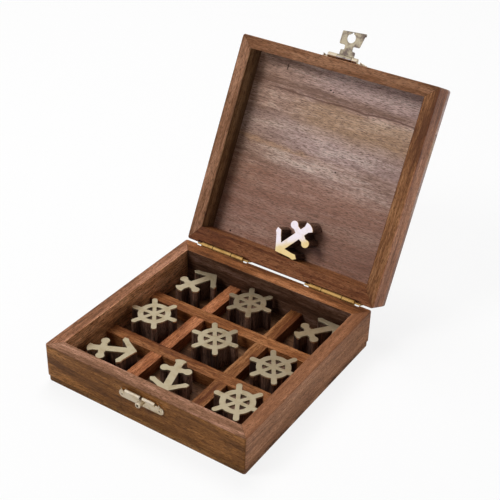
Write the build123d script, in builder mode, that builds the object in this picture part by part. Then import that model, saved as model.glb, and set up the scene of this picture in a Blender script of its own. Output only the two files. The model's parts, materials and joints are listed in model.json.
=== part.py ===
from build123d import *
import os
from math import cos, radians, sin

# Pocket noughts and crosses box: a square hardwood case, sawn into a base and a hinged lid.
# The base is a tray of nine cells, and each cell holds one brass-faced wooden playing piece,
# an anchor or a ship's wheel. A tenth piece, an anchor, lies in the lid.
# X runs along the hinge, Y from the latch face to the hinge face, Z up, in millimetres.
# The origin is at the middle of the underside. The lid is drawn closed and then swung open.

# Case
case_width = 127.0
case_depth = 126.4
base_height = 24.6
lid_height = 17.9
front_wall = 7.1
side_wall = 7.6
hinge_wall = 9.6
floor_panel = 4.4
lid_panel = 4.4
floor_inset = 0.5
floor_round = 1.0
lid_round = 1.2
corner_round = 1.5
rim_round = 0.5
rim_gap = 0.1
open_angle = 116.7

# Divider strips, half-lapped where they cross
strip_width = 7.5
strip_height = 7.0
lap_clearance = 0.1
side_cell_share = 0.3203
front_cell_share = 0.3527
back_cell_share = 0.3126

# Playing pieces
piece_height = 12.8
brass_thickness = 1.0
piece_play = 0.2

# Ship's wheel
wheel_play = 0.45
wheel_rim_radius = 9.35
wheel_window_radius = 6.1
spoke_width = 2.3
spoke_count = 6
handle_hub_width = 2.0
handle_tip_radius = 1.65
handle_blend = 0.7

# Anchor
anchor_play = 2.4

# Hinges
hinge_length = 29.2
hinge_inset = 11.4
end_knuckle = 8.0
knuckle_gap = 0.15
leaf_thickness = 1.0
leaf_height = 8.0
barrel_radius = 1.4
hinge_pin_radius = 0.7
running_clearance = 0.05
barrel_clearance = 0.4
recess_run = 3.5

# Nails
nail_radius = 0.55
nail_head_radius = 1.0
nail_head_height = 0.5
nail_head_round = 0.4
nail_length = 4.5
nail_end_inset = 6.0
nail_clearance = 0.05

# Latch
latch_x = 0.7
plate_thickness = 0.6
plate_half_width = 9.3
plate_height = 5.6
ear_reach = 11.8
ear_radius = 2.3
tab_half_width = 1.15
tab_rise = 4.8
tab_lean = 1.1
catch_roll_drop = 4.5
catch_roll_radius = 1.1
catch_split = 1.5
roll_bore_radius = 0.5
hasp_pivot_rise = 4.7
hasp_roll_radius = 1.5
hasp_pin_radius = 0.6
roll_clearance = 0.05

# Hasp, measured outwards from its pivot. It sits a little off the plate's middle, and its
# head is wider on the right.
hasp_shift = 1.3
hasp_thickness = 0.6
hasp_root_half = 4.65
hasp_root_end = 4.5
hasp_neck_half = 2.5
hasp_neck_end = 7.3
hasp_head_half = 6.4
hasp_left_half = 6.3
hasp_left_length = 14.0
hasp_right_half = 8.1
hasp_right_length = 15.0
hasp_hole_reach = 11.6
hasp_hole_radius = 2.7
hasp_notch_width = 1.7
hasp_notch_depth = 0.6
hasp_lip_radius = 0.9
hasp_corner = 0.8

# Knob that the hasp's hole drops over
knob_shift = 0.9
knob_radius = 1.65
knob_length = 4.2
knob_bore_radius = 0.75
knob_bore_depth = 2.5
knob_round = 0.5
knob_shank_radius = 0.9
knob_shank_length = 5.0

# What follows from those sizes
half_width = case_width / 2
half_depth = case_depth / 2
lid_rim = base_height + rim_gap
lid_top = lid_rim + lid_height
lid_ceiling = lid_top - lid_panel
inside_left = side_wall - half_width
inside_right = half_width - side_wall
inside_front = front_wall - half_depth
inside_back = half_depth - hinge_wall
inside_width = inside_right - inside_left
inside_depth = inside_back - inside_front
hinge_y = half_depth + leaf_thickness / 2
hinge_z = base_height + rim_gap / 2
hinge_axis = Axis((0, hinge_y, hinge_z), (1, 0, 0))

free_width = inside_width - 2 * strip_width
free_depth = inside_depth - 2 * strip_width
side_cell = side_cell_share * free_width
front_cell = front_cell_share * free_depth
back_cell = back_cell_share * free_depth
smallest_cell = min(side_cell, free_width - 2 * side_cell, front_cell, back_cell)
strip_xs = [
    inside_left + side_cell + strip_width / 2,
    inside_right - side_cell - strip_width / 2,
]
strip_ys = [
    inside_front + front_cell + strip_width / 2,
    inside_back - back_cell - strip_width / 2,
]
columns = {
    "left": (inside_left, strip_xs[0] - strip_width / 2),
    "middle": (strip_xs[0] + strip_width / 2, strip_xs[1] - strip_width / 2),
    "right": (strip_xs[1] + strip_width / 2, inside_right),
}
rows = {
    "front": (inside_front, strip_ys[0] - strip_width / 2),
    "centre": (strip_ys[0] + strip_width / 2, strip_ys[1] - strip_width / 2),
    "back": (strip_ys[1] + strip_width / 2, inside_back),
}

hinge_x = half_width - hinge_inset - hinge_length / 2
hinge_xs = {"left": -hinge_x, "right": hinge_x}
recess_depth = barrel_radius - leaf_thickness / 2 + barrel_clearance
recess_height = barrel_radius + barrel_clearance
pivot_out = hasp_roll_radius + roll_clearance
pivot_z = lid_rim + hasp_pivot_rise
knob_x = latch_x + knob_shift
knob_z = pivot_z - hasp_hole_reach
hasp_x = latch_x + hasp_shift
catch_roll_z = base_height - catch_roll_drop

os.makedirs("parts", exist_ok=True)


def keep(piece, name):
    """Names a finished piece and writes it."""
    piece.part.label = name
    export_step(piece.part, f"parts/{name}.step")


def keep_on_lid(piece, name):
    """Swings a piece of the lid open about the hinge, then names and writes it."""
    piece.part = piece.part.rotate(hinge_axis, -open_angle)
    keep(piece, name)


# Walls. Each is mitred to its neighbours, from the outer corner to the inner corner.
outer_corners = [
    (-half_width, -half_depth),
    (half_width, -half_depth),
    (half_width, half_depth),
    (-half_width, half_depth),
]
inner_corners = [
    (inside_left, inside_front),
    (inside_right, inside_front),
    (inside_right, inside_back),
    (inside_left, inside_back),
]
sides = ["front", "right", "hinge", "left"]


def wall_block(low, high, rim):
    """The case's full plan between two heights, its corners and its edge at the rim eased."""
    with BuildPart() as block:
        with BuildSketch(Plane.XY.offset(low)):
            RectangleRounded(case_width, case_depth, corner_round)
        extrude(amount=high - low)
        fillet(block.edges().filter_by_position(Axis.Z, rim, rim), radius=rim_round)
    return block.part


def mitred_wall(side, block):
    """One side's share of a block, down to the inner face and mitred at both ends."""
    here = sides.index(side)
    beyond = (here + 1) % 4
    plan = [outer_corners[here], outer_corners[beyond], inner_corners[beyond], inner_corners[here]]
    with BuildPart() as wall:
        with BuildSketch():
            with BuildLine():
                Polyline(*plan, close=True)
            make_face()
        extrude(amount=lid_top)
        add(block, mode=Mode.INTERSECT)
    return wall.part


# The face planes: u runs along X and v runs up, both from the row's origin.
front_face = Plane(origin=(0, -half_depth, 0), x_dir=(1, 0, 0), z_dir=(0, -1, 0))
hinge_face = Plane(origin=(0, half_depth, 0), x_dir=(-1, 0, 0), z_dir=(0, 1, 0))


def hinge_nail_points(height):
    """Nail places on the hinge face, two to a leaf, as u and v."""
    reach = hinge_length / 2 - nail_end_inset
    return [(-x + step, height) for x in hinge_xs.values() for step in (-reach, reach)]


def latch_nail_points(height):
    """Nail places on the front face, one to an ear."""
    return [(latch_x - ear_reach, height), (latch_x + ear_reach, height)]


base_leaf_nail_z = hinge_z - barrel_radius - (leaf_height - barrel_radius) / 2
lid_leaf_nail_z = hinge_z + barrel_radius + (leaf_height - barrel_radius) / 2
catch_ear_z = catch_roll_z - plate_height + ear_radius
hasp_ear_z = pivot_z + plate_height - ear_radius

nail_hole_radius = nail_radius + nail_clearance
nail_hole_depth = nail_length + nail_clearance

base_block = wall_block(floor_panel, base_height, base_height)
lid_block = wall_block(lid_rim, lid_ceiling, lid_rim)
base_blanks = {side: mitred_wall(side, base_block) for side in sides}
lid_blanks = {side: mitred_wall(side, lid_block) for side in sides}

with BuildPart() as base_front_wall:
    add(base_blanks["front"])
    with BuildSketch(front_face):
        with Locations(*latch_nail_points(catch_ear_z)):
            Circle(nail_hole_radius)
    extrude(amount=-nail_hole_depth, mode=Mode.SUBTRACT)
    with BuildSketch(front_face):
        with Locations((knob_x, knob_z)):
            Circle(knob_shank_radius + nail_clearance)
    extrude(amount=-(knob_shank_length + nail_clearance), mode=Mode.SUBTRACT)
keep(base_front_wall, "base_front_wall")

with BuildPart() as base_hinge_wall:
    add(base_blanks["hinge"])
    with BuildSketch(hinge_face):
        with Locations(*[(-x, base_height - recess_height / 2) for x in hinge_xs.values()]):
            Rectangle(hinge_length + 2 * recess_run, recess_height)
    extrude(amount=-recess_depth, mode=Mode.SUBTRACT)
    with BuildSketch(hinge_face):
        with Locations(*hinge_nail_points(base_leaf_nail_z)):
            Circle(nail_hole_radius)
    extrude(amount=-nail_hole_depth, mode=Mode.SUBTRACT)
keep(base_hinge_wall, "base_hinge_wall")

for side in ("left", "right"):
    with BuildPart() as base_side_wall:
        add(base_blanks[side])
    keep(base_side_wall, f"base_{side}_wall")

with BuildPart() as base_floor:
    with BuildSketch():
        RectangleRounded(case_width - 2 * floor_inset, case_depth - 2 * floor_inset, corner_round)
    extrude(amount=floor_panel)
    fillet(base_floor.edges().group_by(Axis.Z)[0], radius=floor_round)
keep(base_floor, "base_floor")

with BuildPart() as lid_front_wall:
    add(lid_blanks["front"])
    with BuildSketch(front_face):
        with Locations(*latch_nail_points(hasp_ear_z)):
            Circle(nail_hole_radius)
    extrude(amount=-nail_hole_depth, mode=Mode.SUBTRACT)
keep_on_lid(lid_front_wall, "lid_front_wall")

with BuildPart() as lid_hinge_wall:
    add(lid_blanks["hinge"])
    with BuildSketch(hinge_face):
        with Locations(*[(-x, lid_rim + recess_height / 2) for x in hinge_xs.values()]):
            Rectangle(hinge_length + 2 * recess_run, recess_height)
    extrude(amount=-recess_depth, mode=Mode.SUBTRACT)
    with BuildSketch(hinge_face):
        with Locations(*hinge_nail_points(lid_leaf_nail_z)):
            Circle(nail_hole_radius)
    extrude(amount=-nail_hole_depth, mode=Mode.SUBTRACT)
keep_on_lid(lid_hinge_wall, "lid_hinge_wall")

for side in ("left", "right"):
    with BuildPart() as lid_side_wall:
        add(lid_blanks[side])
    keep_on_lid(lid_side_wall, f"lid_{side}_wall")

with BuildPart() as lid_top_panel:
    with BuildSketch(Plane.XY.offset(lid_ceiling)):
        RectangleRounded(case_width, case_depth, corner_round)
    extrude(amount=lid_panel)
    fillet(lid_top_panel.edges().group_by(Axis.Z)[-1], radius=lid_round)
keep_on_lid(lid_top_panel, "lid_top_panel")

# Divider strips. Those along X are whole on top, those along Y are notched from above.
lap_height = strip_height / 2
lap_width = strip_width + 2 * lap_clearance
for y, name in zip(strip_ys, ("front", "back")):
    with BuildPart() as cross_strip:
        with BuildSketch(Plane.XY.offset(floor_panel)):
            with Locations(((inside_left + inside_right) / 2, y)):
                Rectangle(inside_width, strip_width)
        extrude(amount=strip_height)
        with BuildSketch(Plane.XY.offset(floor_panel)):
            with Locations(*[(x, y) for x in strip_xs]):
                Rectangle(lap_width, strip_width)
        extrude(amount=lap_height, mode=Mode.SUBTRACT)
    keep(cross_strip, f"divider_{name}_strip")

for x, name in zip(strip_xs, ("left", "right")):
    with BuildPart() as long_strip:
        with BuildSketch(Plane.XY.offset(floor_panel)):
            with Locations((x, (inside_front + inside_back) / 2)):
                Rectangle(strip_width, inside_depth)
        extrude(amount=strip_height)
        with BuildSketch(Plane.XY.offset(floor_panel + strip_height)):
            with Locations(*[(x, y) for y in strip_ys]):
                Rectangle(strip_width, lap_width)
        extrude(amount=-lap_height, mode=Mode.SUBTRACT)
    keep(long_strip, f"divider_{name}_strip")

# Hinges: two outer knuckles on the base's leaf, the middle one on the lid's, and a pin.
barrel_plane = Plane(origin=(0, hinge_y, hinge_z), x_dir=(0, 1, 0), z_dir=(1, 0, 0))
middle_knuckle = hinge_length - 2 * end_knuckle
leaf_cut_radius = barrel_radius + barrel_clearance / 2


def hinge_leaf(x, way, leaf_length, knuckles, gaps, nail_z):
    """A leaf on the hinge face, down for way -1 and up for way 1.

    knuckles and gaps are lists of (start, length) along the barrel from the hinge's middle.
    """
    with BuildPart() as leaf:
        with BuildSketch(hinge_face):
            with Locations((-x, hinge_z + way * leaf_height / 2)):
                Rectangle(leaf_length, leaf_height)
        extrude(amount=leaf_thickness)
        for start, length in gaps:
            with BuildSketch(barrel_plane.offset(x + start)):
                Circle(leaf_cut_radius)
            extrude(amount=length, mode=Mode.SUBTRACT)
        for start, length in knuckles:
            with BuildSketch(barrel_plane.offset(x + start)):
                Circle(barrel_radius)
            extrude(amount=length)
        with BuildSketch(barrel_plane.offset(x - hinge_length / 2)):
            Circle(hinge_pin_radius + running_clearance)
        extrude(amount=hinge_length, mode=Mode.SUBTRACT)
        with BuildSketch(hinge_face):
            with Locations(*hinge_nail_points(nail_z)):
                Circle(nail_hole_radius)
        extrude(amount=leaf_thickness, mode=Mode.SUBTRACT)
    return leaf


first_knuckle = (-hinge_length / 2, end_knuckle)
last_knuckle = (hinge_length / 2 - end_knuckle, end_knuckle)
inner_knuckle = (knuckle_gap - middle_knuckle / 2, middle_knuckle - 2 * knuckle_gap)
first_gap = (-hinge_length / 2, end_knuckle + knuckle_gap)
last_gap = (hinge_length / 2 - end_knuckle - knuckle_gap, end_knuckle + knuckle_gap)
inner_gap = (-middle_knuckle / 2, middle_knuckle)

# The lid's leaf is longer than the barrel and closes the ends of the recess in the lid.
lid_leaf_length = hinge_length + 2 * recess_run
for side, x in hinge_xs.items():
    outer_knuckles = [first_knuckle, last_knuckle]
    base_leaf = hinge_leaf(x, -1, hinge_length, outer_knuckles, [inner_gap], base_leaf_nail_z)
    keep(base_leaf, f"{side}_hinge_base_leaf")
    outer_gaps = [first_gap, last_gap]
    lid_leaf = hinge_leaf(x, 1, lid_leaf_length, [inner_knuckle], outer_gaps, lid_leaf_nail_z)
    keep_on_lid(lid_leaf, f"{side}_hinge_lid_leaf")
    with BuildPart() as hinge_pin:
        with BuildSketch(barrel_plane.offset(x - hinge_length / 2)):
            Circle(hinge_pin_radius)
        extrude(amount=hinge_length)
    keep(hinge_pin, f"{side}_hinge_pin")


def nails(face, points, plate):
    """Round-headed nails through a plate of that thickness, as separate solids."""
    with BuildPart() as group:
        with BuildSketch(face.offset(plate)):
            with Locations(*points):
                Circle(nail_head_radius)
        extrude(amount=nail_head_height)
        rims = group.edges().group_by(Axis(face.origin, face.z_dir))[-1]
        fillet(rims, radius=nail_head_round)
        with BuildSketch(face.offset(plate)):
            with Locations(*points):
                Circle(nail_radius)
        extrude(amount=-nail_length)
    return group


keep(nails(hinge_face, hinge_nail_points(base_leaf_nail_z), leaf_thickness), "base_hinge_nails")
keep_on_lid(
    nails(hinge_face, hinge_nail_points(lid_leaf_nail_z), leaf_thickness), "lid_hinge_nails"
)
keep(nails(front_face, latch_nail_points(catch_ear_z), plate_thickness), "catch_nails")
keep_on_lid(nails(front_face, latch_nail_points(hasp_ear_z), plate_thickness), "hasp_plate_nails")


def pointed_tab(x, root_z, tip_z):
    """A tab that tapers to a point and leans out from the front face."""
    side_plane = Plane(
        origin=(x - tab_half_width, -half_depth, 0), x_dir=(0, 1, 0), z_dir=(1, 0, 0)
    )
    with BuildPart() as tab:
        with BuildSketch(front_face):
            Polygon(
                (x - tab_half_width, root_z), (x + tab_half_width, root_z), (x, tip_z), align=None
            )
        extrude(amount=plate_thickness + tab_lean)
        with BuildSketch(side_plane):
            Polygon(
                (0, root_z),
                (-plate_thickness, root_z),
                (-plate_thickness - tab_lean, tip_z),
                (-tab_lean, tip_z),
                align=None,
            )
        extrude(amount=2 * tab_half_width, mode=Mode.INTERSECT)
    return tab.part


def latch_plate(roll_z, way, roll_radius, bore_radius, split_x, split, ear_z):
    """A stamped plate with two nailed ears and one rolled edge, split for the knob or hasp.

    The plate lies below its roll for way -1 and above it for way 1.
    """
    roll_plane = Plane(
        origin=(0, -half_depth - roll_radius - roll_clearance, roll_z),
        x_dir=(0, -1, 0),
        z_dir=(1, 0, 0),
    )
    low = latch_x - plate_half_width
    high = latch_x + plate_half_width
    with BuildPart() as plate:
        with BuildSketch(front_face):
            with Locations((latch_x, roll_z + way * plate_height / 2)):
                Rectangle(2 * plate_half_width, plate_height)
            with Locations((latch_x, ear_z)):
                SlotCenterToCenter(2 * ear_reach, 2 * ear_radius)
            with Locations((split_x, roll_z)):
                Rectangle(split, 2 * (roll_radius + roll_clearance), mode=Mode.SUBTRACT)
        extrude(amount=plate_thickness)
        for x in (latch_x - ear_reach, latch_x + ear_reach):
            root_z = ear_z - way * (nail_head_radius + roll_clearance)
            add(pointed_tab(x, root_z, ear_z - way * tab_rise))
        with BuildSketch(front_face):
            with Locations(*latch_nail_points(ear_z)):
                Circle(nail_hole_radius)
        extrude(amount=plate_thickness, mode=Mode.SUBTRACT)
        for start, end in ((low, split_x - split / 2), (split_x + split / 2, high)):
            with BuildSketch(roll_plane.offset(start)):
                Circle(roll_radius)
            extrude(amount=end - start)
        with BuildSketch(roll_plane.offset(low)):
            Circle(bore_radius)
        extrude(amount=high - low, mode=Mode.SUBTRACT)
    return plate


# The catch on the base, its plate below its roll, with the knob standing through it.
catch_blank = latch_plate(
    catch_roll_z, -1, catch_roll_radius, roll_bore_radius, knob_x, catch_split, catch_ear_z
)
with BuildPart() as catch_plate:
    add(catch_blank.part)
    with BuildSketch(front_face):
        with Locations((knob_x, knob_z)):
            Circle(knob_shank_radius + nail_clearance)
    extrude(amount=plate_thickness, mode=Mode.SUBTRACT)
    with BuildSketch(front_face.offset(plate_thickness)):
        with Locations((knob_x, knob_z)):
            Circle(knob_radius + roll_clearance)
    extrude(amount=knob_length, mode=Mode.SUBTRACT)
keep(catch_plate, "catch_plate")

with BuildPart() as catch_knob:
    with BuildSketch(front_face.offset(plate_thickness)):
        with Locations((knob_x, knob_z)):
            Circle(knob_radius)
    extrude(amount=knob_length)
    fillet(catch_knob.edges().group_by(Axis.Y)[0], radius=knob_round)
    with BuildSketch(front_face.offset(plate_thickness)):
        with Locations((knob_x, knob_z)):
            Circle(knob_shank_radius)
    extrude(amount=-(plate_thickness + knob_shank_length))
    with BuildSketch(front_face.offset(plate_thickness + knob_length)):
        with Locations((knob_x, knob_z)):
            Circle(knob_bore_radius)
    extrude(amount=-knob_bore_depth, mode=Mode.SUBTRACT)
keep(catch_knob, "catch_knob")

# The hasp's plate on the lid, its plate above its roll, and the pin through the roll.
hasp_bore_radius = hasp_pin_radius + running_clearance
hasp_split = 2 * (hasp_root_half + knuckle_gap)
hasp_plate = latch_plate(
    pivot_z, 1, hasp_roll_radius, hasp_bore_radius, hasp_x, hasp_split, hasp_ear_z
)
keep_on_lid(hasp_plate, "hasp_plate")

pivot_plane = Plane(
    origin=(hasp_x, -half_depth - pivot_out, pivot_z), x_dir=(0, -1, 0), z_dir=(1, 0, 0)
)
with BuildPart() as hasp_pin:
    with BuildSketch(pivot_plane.offset(-hasp_shift - plate_half_width)):
        Circle(hasp_pin_radius)
    extrude(amount=2 * plate_half_width)
keep_on_lid(hasp_pin, "hasp_pin")

# The hasp stands straight out of the lid's front. Here u runs along X and v outwards.
hasp_face = Plane(
    origin=(hasp_x, -half_depth - pivot_out, pivot_z + hasp_roll_radius),
    x_dir=(1, 0, 0),
    z_dir=(0, 0, -1),
)
hasp_outline = [
    (hasp_root_half, 0),
    (hasp_root_half, hasp_root_end),
    (hasp_neck_half, hasp_root_end),
    (hasp_neck_half, hasp_neck_end),
    (hasp_head_half, hasp_neck_end),
    (hasp_right_half, hasp_right_length),
    (-hasp_left_half, hasp_left_length),
    (-hasp_head_half, hasp_neck_end),
    (-hasp_neck_half, hasp_neck_end),
    (-hasp_neck_half, hasp_root_end),
    (-hasp_root_half, hasp_root_end),
    (-hasp_root_half, 0),
]
lip_start = hasp_face.from_local_coords(
    (-hasp_left_half, hasp_left_length, hasp_thickness - hasp_lip_radius)
)
lip_end = hasp_face.from_local_coords(
    (hasp_right_half, hasp_right_length, hasp_thickness - hasp_lip_radius)
)
with BuildPart() as hasp:
    with BuildSketch(hasp_face) as hasp_sheet:
        Polygon(*hasp_outline, align=None)
        fillet(hasp_sheet.vertices(), radius=hasp_corner)
    extrude(amount=hasp_thickness)
    with BuildSketch(Plane(origin=lip_start, z_dir=lip_end - lip_start)):
        Circle(hasp_lip_radius)
    extrude(amount=(lip_end - lip_start).length)
    with BuildSketch(hasp_face.offset(hasp_thickness)):
        with Locations((0, hasp_hole_reach)):
            Circle(hasp_hole_radius)
        with Locations((0, hasp_hole_reach + (hasp_hole_radius + hasp_notch_depth) / 2)):
            Rectangle(hasp_notch_width, hasp_hole_radius + hasp_notch_depth)
    extrude(amount=-2 * hasp_lip_radius, mode=Mode.SUBTRACT)
    with BuildSketch(pivot_plane.offset(-hasp_root_half)):
        Circle(hasp_roll_radius)
    extrude(amount=2 * hasp_root_half)
    with BuildSketch(pivot_plane.offset(-hasp_root_half)):
        Circle(hasp_bore_radius)
    extrude(amount=2 * hasp_root_half, mode=Mode.SUBTRACT)
keep_on_lid(hasp, "hasp")

# Outline of a ship's wheel, centred on its hub, with a handle along X.
wheel_reach = smallest_cell / 2 - wheel_play
handle_centre = wheel_reach - handle_tip_radius
handle_outline = [
    (0, -handle_hub_width / 2),
    (handle_centre, -handle_tip_radius),
    (handle_centre, handle_tip_radius),
    (0, handle_hub_width / 2),
]


def at_handle_root(corner):
    """Says whether a corner of the outline is where a handle leaves the rim."""
    return abs(Vector(corner.X, corner.Y).length - wheel_rim_radius) < handle_blend / 10


with BuildSketch() as wheel_outline:
    Circle(wheel_rim_radius)
    with PolarLocations(0, spoke_count):
        Polygon(*handle_outline, align=None)
    with PolarLocations(handle_centre, spoke_count):
        Circle(handle_tip_radius)
    fillet(wheel_outline.vertices().filter_by(at_handle_root), radius=handle_blend)

# The six windows between its spokes.
with BuildSketch() as wheel_windows:
    Circle(wheel_window_radius)
    with PolarLocations(0, spoke_count):
        Rectangle(
            2 * wheel_window_radius,
            spoke_width,
            align=(Align.MIN, Align.CENTER),
            mode=Mode.SUBTRACT,
        )

# Outline of an anchor, from the point of its crown along X to the end of its ring, with the
# half on the side of +Y drawn and then mirrored.
anchor_length = smallest_cell - anchor_play
crown = (0, 0)
arm_outer_middle = (2.9, 3.9)
arm_outer_end = (5.8, 7.9)
fluke_outer = (6.7, 10.0)
fluke_tip = (9.0, 10.9)
fluke_inner = (9.8, 8.4)
arm_inner = (8.2, 6.3)
arm_root = (5.8, 2.15)
shank_top = (16.6, 2.15)
stock_neck_low = (17.0, 4.3)
stock_lobe_low = (16.2, 5.9)
stock_lobe_end = (18.6, 8.8)
stock_lobe_high = (21.0, 5.9)
stock_neck_high = (20.2, 4.3)
ring_root = (20.6, 2.1)
ring_neck = (23.8, 2.1)
ring_corner = (26.1, 3.3)
ring_edge = (26.95, 1.7)
ring_end = (27.2, 0)
with BuildSketch() as anchor_outline:
    with BuildLine():
        ThreePointArc(crown, arm_outer_middle, arm_outer_end)
        Polyline(arm_outer_end, fluke_outer, fluke_tip, fluke_inner, arm_inner, arm_root)
        Polyline(arm_root, shank_top, stock_neck_low, stock_lobe_low)
        ThreePointArc(stock_lobe_low, stock_lobe_end, stock_lobe_high)
        Polyline(stock_lobe_high, stock_neck_high, ring_root, ring_neck, ring_corner)
        ThreePointArc(ring_corner, ring_edge, ring_end)
        Line(ring_end, crown)
    make_face()
    mirror(about=Plane.XZ)
    scale(by=anchor_length / ring_end[0])


def spot(outline, turn, across, along, lean_x, lean_y):
    """Where an outline's origin lies, so that it fits between two X and two Y limits.

    A lean runs from -1, against the low limit, to 1, against the high one.
    """
    box = (Rot(0, 0, turn) * outline.sketch).bounding_box()
    free_x = (across[1] - across[0] - box.size.X) / 2 - piece_play
    free_y = (along[1] - along[0] - box.size.Y) / 2 - piece_play
    middle_x = (across[0] + across[1]) / 2 + lean_x * free_x
    middle_y = (along[0] + along[1]) / 2 + lean_y * free_y
    return middle_x - box.center().X, middle_y - box.center().Y


def playing_piece(outline, windows, place, turn, brass_z, wood_z):
    """The brass face and the wooden body of a piece, each between its two heights."""
    heading = (cos(radians(turn)), sin(radians(turn)), 0)
    with BuildPart() as brass:
        with BuildSketch(Plane(origin=(*place, brass_z[0]), x_dir=heading, z_dir=(0, 0, 1))):
            add(outline.sketch)
            if windows:
                add(windows.sketch, mode=Mode.SUBTRACT)
        extrude(amount=brass_z[1] - brass_z[0])
    with BuildPart() as wood:
        with BuildSketch(Plane(origin=(*place, wood_z[0]), x_dir=heading, z_dir=(0, 0, 1))):
            add(outline.sketch)
        extrude(amount=wood_z[1] - wood_z[0])
    return brass, wood


wood_span = (floor_panel, floor_panel + piece_height - brass_thickness)
brass_span = (wood_span[1], floor_panel + piece_height)
tray_pieces = [
    ("anchor_back_left", "anchor", "left", "back", -113.7, 0.75, -0.2),
    ("wheel_back_middle", "wheel", "middle", "back", -2.0, -0.55, 0.25),
    ("anchor_back_right", "anchor", "right", "back", -127.0, 1.0, -0.15),
    ("wheel_mid_left", "wheel", "left", "centre", 6.0, 0.95, -0.5),
    ("wheel_centre", "wheel", "middle", "centre", 5.0, 0.45, -0.2),
    ("wheel_mid_right", "wheel", "right", "centre", 3.0, 0.1, -1.0),
    ("anchor_front_left", "anchor", "left", "front", -154.0, 0.6, 0.25),
    ("anchor_front_middle", "anchor", "middle", "front", 106.0, 0.35, 0.45),
    ("wheel_front_right", "wheel", "right", "front", 0.0, 0.1, 0.9),
]
for name, kind, column, row, turn, lean_x, lean_y in tray_pieces:
    outline = wheel_outline if kind == "wheel" else anchor_outline
    windows = wheel_windows if kind == "wheel" else None
    place = spot(outline, turn, columns[column], rows[row], lean_x, lean_y)
    brass, wood = playing_piece(outline, windows, place, turn, brass_span, wood_span)
    keep(brass, f"{name}_brass")
    keep(wood, f"{name}_wood")

# The tenth piece lies in the lid, brass side towards the tray.
lid_turn = -49.2
lid_wood_span = (lid_ceiling - piece_height + brass_thickness, lid_ceiling)
lid_brass_span = (lid_ceiling - piece_height, lid_wood_span[0])
lid_place = spot(
    anchor_outline, lid_turn, (inside_left, inside_right), (inside_front, inside_back), 0.08, 1.0
)
lid_brass, lid_wood = playing_piece(
    anchor_outline, None, lid_place, lid_turn, lid_brass_span, lid_wood_span
)
keep_on_lid(lid_brass, "anchor_lid_brass")
keep_on_lid(lid_wood, "anchor_lid_wood")
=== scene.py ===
# %% [markdown]
# # A pocket noughts and crosses box
# The object is a small hardwood box. Its base is a tray of nine cells with brass-faced playing
# pieces, and its lid stands open on two brass hinges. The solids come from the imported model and
# are the fixed frame here: this file gives them finishes, and swaps the small metal parts for
# finer ones.

# %% Load the frame
import json
import math
import bmesh
import bpy
from mathutils import Matrix, Vector


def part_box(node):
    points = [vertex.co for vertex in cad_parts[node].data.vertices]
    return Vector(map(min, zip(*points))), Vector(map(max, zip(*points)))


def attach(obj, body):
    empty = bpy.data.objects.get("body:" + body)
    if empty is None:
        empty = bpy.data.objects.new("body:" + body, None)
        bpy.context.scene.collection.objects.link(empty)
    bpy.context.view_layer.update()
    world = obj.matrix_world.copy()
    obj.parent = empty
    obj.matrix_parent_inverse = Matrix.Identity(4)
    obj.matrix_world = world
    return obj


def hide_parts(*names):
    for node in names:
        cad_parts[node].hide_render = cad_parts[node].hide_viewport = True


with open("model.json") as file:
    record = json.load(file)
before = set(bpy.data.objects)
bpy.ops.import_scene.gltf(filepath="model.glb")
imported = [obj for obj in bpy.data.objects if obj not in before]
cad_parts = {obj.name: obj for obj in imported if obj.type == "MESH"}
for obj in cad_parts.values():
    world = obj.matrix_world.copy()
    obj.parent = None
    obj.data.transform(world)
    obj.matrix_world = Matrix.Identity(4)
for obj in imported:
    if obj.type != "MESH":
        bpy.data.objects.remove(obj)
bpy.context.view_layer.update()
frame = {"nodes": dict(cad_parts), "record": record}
nodes = frame["nodes"]
body_of_node = {n: b for b, ns in frame["record"]["behaviour"]["bodies"].items() for n in ns}


def rounded(values, places):
    """Numbers cut short, so that a printed line stays readable."""
    return [round(v, places) for v in values]


# %% [markdown]
# ## Sizes that the finishes need
# The patterns in wood follow the boards, so a few of the box's own sizes are repeated here. They
# are in millimetres, because that is how a maker thinks of a box this small. Heights are those of
# the closed box, and the lid has swung open by OPEN_ANGLE about the line HINGE_Y, HINGE_Z.

# %% Sizes of the box
MM = 0.001
OPEN_ANGLE = math.radians(116.7)
HINGE_Y, HINGE_Z = 63.7, 24.65
HALF_WIDTH, HALF_DEPTH = 63.5, 63.2
SIDE_WALL, FRONT_WALL, HINGE_WALL = 7.6, 7.1, 9.6
FLOOR_TOP, BASE_RIM, LID_TOP = 4.4, 24.6, 42.6
print("closed box:", 2 * HALF_WIDTH, "x", 2 * HALF_DEPTH, "x", LID_TOP, "mm")

# %% [markdown]
# ## The camera
# The photograph looks down on the box from the front right with a long lens. The camera's three
# directions were worked out from the box's corners and edges, so they are simply written in.

# %% Camera
view_right = Vector((0.83505654, 0.54957873, 0.02537281))
view_down = Vector((0.31711968, -0.44313579, -0.83849018))
view_ahead = Vector((-0.44957277, 0.70823293, -0.54432568))
lens = bpy.data.cameras.new("camera")
camera = bpy.data.objects.new("camera", lens)
bpy.context.scene.collection.objects.link(camera)
camera.matrix_world = Matrix((view_right, -view_down, -view_ahead)).transposed().to_4x4()
camera.matrix_world.translation = (0.27065, -0.39128, 0.38313)
lens.lens = 79.25
lens.sensor_width = 36
lens.clip_start = 0.01
bpy.context.scene.camera = camera
far = camera.matrix_world.translation.length
print("camera", round(far, 3), "m from the middle of the box's underside")

# %% [markdown]
# ## Shader maths as plain sums
# A finish is a sum of many small patterns. Writing each sum as nodes by hand is slow to read, so
# one small class wraps a node's output, and adding or multiplying two of them adds the Math node.


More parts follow.
